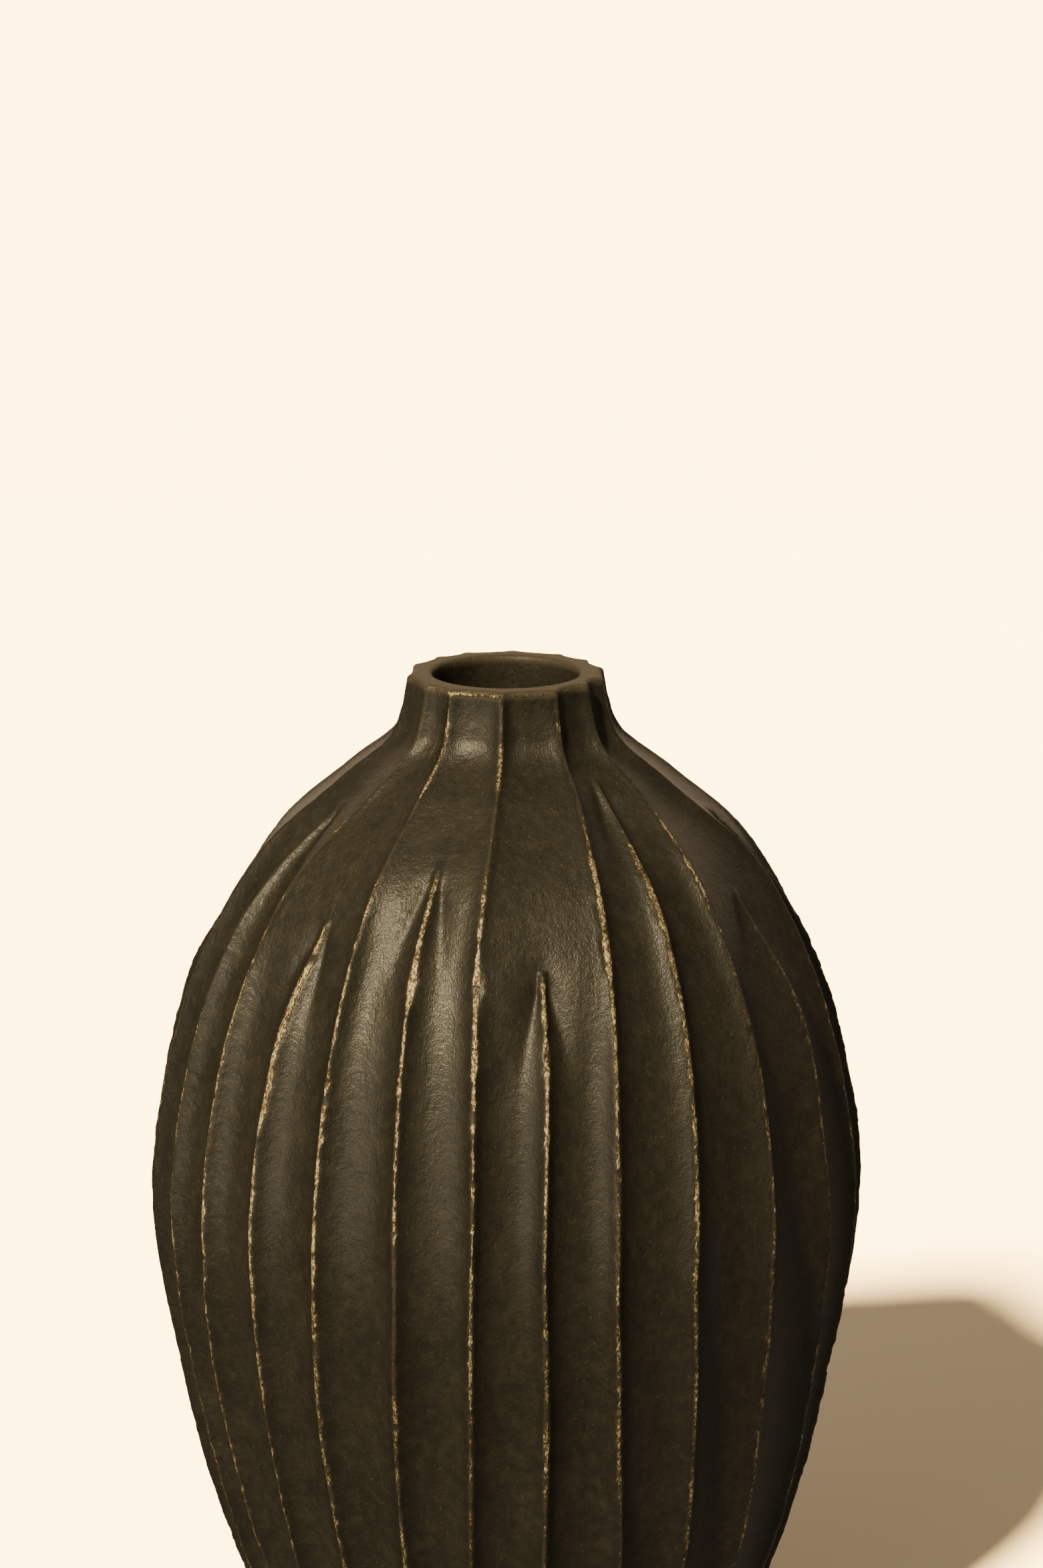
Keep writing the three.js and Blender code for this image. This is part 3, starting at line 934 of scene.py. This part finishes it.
def clay_height(n, f):
    """Relief finer than the mesh, in millimetres."""
    height = n.add_times(n.times(f.fine, 0.012), f.sand, -0.035)
    for field, amount in (
        (f.grain, 0.052),
        (f.lump, 0.1),
        (f.dimple, n.times(f.hammered, 0.14)),
        (f.streak, 0.035),
        (f.mottle, 0.16),
        (n.times(f.rubbed, f.crust), 0.5),
    ):
        height = n.add_times(height, field, amount)
    return height


def black_clay():
    material = bpy.data.materials.new("black_clay")
    n = Nodes(material)
    fields = clay_fields(n)
    bump = n.add("ShaderNodeBump", Height=clay_height(n, fields), Strength=1.0, Distance=MM)
    shader = n.add("ShaderNodeBsdfPrincipled", Base_Color=clay_colour(n, fields),
                   Roughness=clay_roughness(n, fields), Metallic=n.times(fields.rubbed, 0.7))
    n.put(shader, "Normal", bump.outputs["Normal"])
    n.put(shader, "Specular_IOR_Level", 0.28)
    n.put(shader, "IOR", 1.55)
    n.put(shader, "Coat_Weight", 0.14)
    n.put(shader, "Coat_Roughness", 0.24)
    n.put(shader, "Coat_Normal", bump.outputs["Normal"])
    n.put(n.add("ShaderNodeOutputMaterial"), "Surface", shader.outputs["BSDF"])
    return material


clay = black_clay()
for node, piece in pieces.items():
    piece.data.materials.append(clay)
    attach(piece, "root")
    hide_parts(node)

# ---- Floor, light and camera ----


def plain_material(name, colour, roughness):
    material = bpy.data.materials.new(name)
    n = Nodes(material)
    shader = n.add("ShaderNodeBsdfPrincipled", Base_Color=colour, Roughness=roughness)
    n.put(n.add("ShaderNodeOutputMaterial"), "Surface", shader.outputs["BSDF"])
    return material


def floor(half=60.0):
    """A pale floor, wide enough to fill the view to the horizon. half is half its width in metres."""
    mesh = bpy.data.meshes.new("floor")
    corners = [(-half, -half, 0), (half, -half, 0), (half, half, 0), (-half, half, 0)]
    mesh.from_pydata(corners, [], [(0, 1, 2, 3)])
    mesh.materials.append(plain_material("pale_paper", (0.86, 0.76, 0.6, 1), 0.8))
    obj = linked("floor", mesh)
    obj.visible_glossy = False
    obj.visible_diffuse = False
    return obj


studio_floor = floor()


def aim(obj, place, target):
    obj.location = place
    direction = Vector(target) - Vector(place)
    obj.rotation_mode = "QUATERNION"
    obj.rotation_quaternion = direction.to_track_quat("-Z", "Y")


def direction_from(azimuth, elevation):
    """A unit vector towards the azimuth and the elevation, in degrees."""
    a, e = math.radians(azimuth), math.radians(elevation)
    return Vector((math.sin(a) * math.cos(e), -math.cos(a) * math.cos(e), math.sin(e)))


def lamp(name, kind, azimuth, elevation, strength, colour, size, distance=2.0, only=None):
    """A sun, whose size is its angle in degrees, or a round softbox, whose size is its width in metres.
    only is the collection of the objects that it lights."""
    light = bpy.data.lights.new(name, kind)
    light.energy, light.color = strength, colour
    if kind == "SUN":
        light.angle = math.radians(size)
    else:
        light.shape, light.size = "DISK", size
    obj = linked(name, light)
    centre = Vector((0, 0, HEIGHT * MM * 0.6))
    aim(obj, centre + distance * direction_from(azimuth, elevation), centre)
    if only is not None:
        obj.light_linking.receiver_collection = only


floor_only = bpy.data.collections.new("floor_only")
floor_only.objects.link(studio_floor)
KEY = {"azimuth": -29, "elevation": 40}
lamp("key", "SUN", **KEY, strength=5.9, colour=(1.0, 0.81, 0.48), size=6)
lamp("floor_key", "SUN", **KEY, strength=70.0, colour=(1.0, 0.71, 0.29), size=7, only=floor_only)
lamp("window", "AREA", azimuth=-42, elevation=5, strength=8.5, colour=(1.0, 0.86, 0.62), size=1.2,
     distance=1.6)
lamp("wall_bounce", "AREA", azimuth=176, elevation=20, strength=12, colour=(1.0, 0.72, 0.45), size=2.4,
     distance=1.6)


def warm_air(colour, strength):
    world = bpy.data.worlds.new("studio")
    world.use_nodes = True
    background = world.node_tree.nodes["Background"]
    background.inputs["Color"].default_value = colour
    background.inputs["Strength"].default_value = strength
    bpy.context.scene.world = world


warm_air((1.0, 0.86, 0.6, 1), 0.22)

# Where the camera stands and what it is aimed at: metres from its target, how far it looks down, and the
# target's place beside the pot's axis and below the lip.
DISTANCE, TILT, ASIDE, AIM_BELOW_LIP = 0.911, math.radians(14.4), 0.0038, 0.0285


def add_camera():
    data = bpy.data.cameras.new("camera")
    data.lens, data.sensor_width = 85, 36
    data.clip_start, data.clip_end = 0.05, 50
    camera = linked("camera", data)
    target = Vector((ASIDE, 0, HEIGHT * MM - AIM_BELOW_LIP))
    aim(camera, target + DISTANCE * Vector((0, -math.cos(TILT), math.sin(TILT))), target)
    bpy.context.scene.camera = camera


add_camera()
